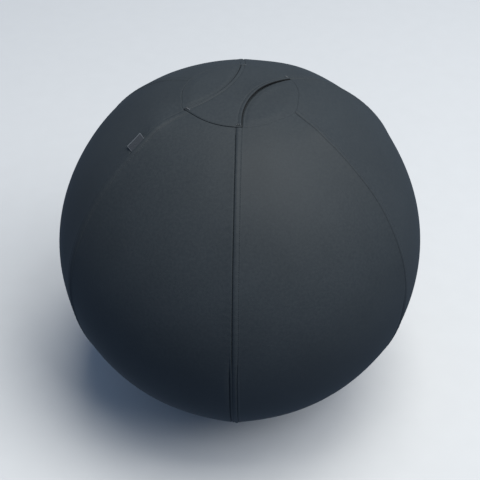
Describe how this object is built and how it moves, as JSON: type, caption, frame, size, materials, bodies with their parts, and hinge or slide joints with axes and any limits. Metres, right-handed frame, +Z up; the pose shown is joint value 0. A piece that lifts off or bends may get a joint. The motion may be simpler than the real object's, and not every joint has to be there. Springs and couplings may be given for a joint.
{
  "type": "sitting ball",
  "caption": "Round sitting ball for a desk: an inflated ball in a sewn panelled cloth cover with a carry handle on top, and a zipped base panel over a sand pouch that stops it rolling.",
  "frame": {"origin": "on the floor, under the middle of the ball", "axes": "+Z up through the top cap and handle; -Y is the front, where the seam that the picture looks at runs down"},
  "size_m": [0.646, 0.6576, 0.6392],
  "materials": {
    "cover_cloth": "matte",
    "lining_cloth": "matte",
    "base_cloth": "matte",
    "label_tape": "matte",
    "blown_vinyl": "satin",
    "plug_plastic": "matte",
    "sand": "matte",
    "zip_tape": "matte",
    "zip_plastic": "matte",
    "zip_metal": "satin"
  },
  "bodies": {
    "ball": {"cover_panel_front_right": "cover_cloth", "cover_panel_right": "cover_cloth", "cover_panel_back_right": "cover_cloth", "cover_panel_back_left": "cover_cloth", "cover_panel_left": "cover_cloth", "cover_panel_front_left": "cover_cloth", "top_cap": "cover_cloth", "base_panel": "base_cloth", "side_label": "label_tape", "inner_ball": "blown_vinyl", "valve_plug": "plug_plastic", "ballast_pouch": "lining_cloth", "ballast_sand": "sand", "zip_tape_cover": "zip_tape", "zip_tape_base": "zip_tape", "zip_teeth_cover": "zip_plastic", "zip_teeth_base": "zip_plastic", "zip_stops": "zip_plastic"},
    "handle": {"handle_band": "cover_cloth", "handle_lining": "lining_cloth"},
    "zip_slider": {"zip_slider": "zip_metal"},
    "zip_pull": {"zip_pull": "zip_metal"}
  },
  "joints": [
    {"name": "handle_lift", "type": "slide", "parent": "ball", "child": "handle", "axis": [0, 0, 1], "range_m": [0, 0.03], "deforming": ["handle_band", "handle_lining"]},
    {"name": "zip_run", "type": "hinge", "parent": "ball", "child": "zip_slider", "pos_m": [0, 0, 0], "axis": [0, 0, 1], "range_deg": [-234, 0], "deforming": ["zip_teeth_cover", "zip_teeth_base"]},
    {"name": "pull_swing", "type": "hinge", "parent": "zip_slider", "child": "zip_pull", "pos_m": [0.09925, 0.05154, 0.01453], "axis": [0.8334, 0.4328, 0.3438], "range_deg": [-29, 149]}
  ]
}
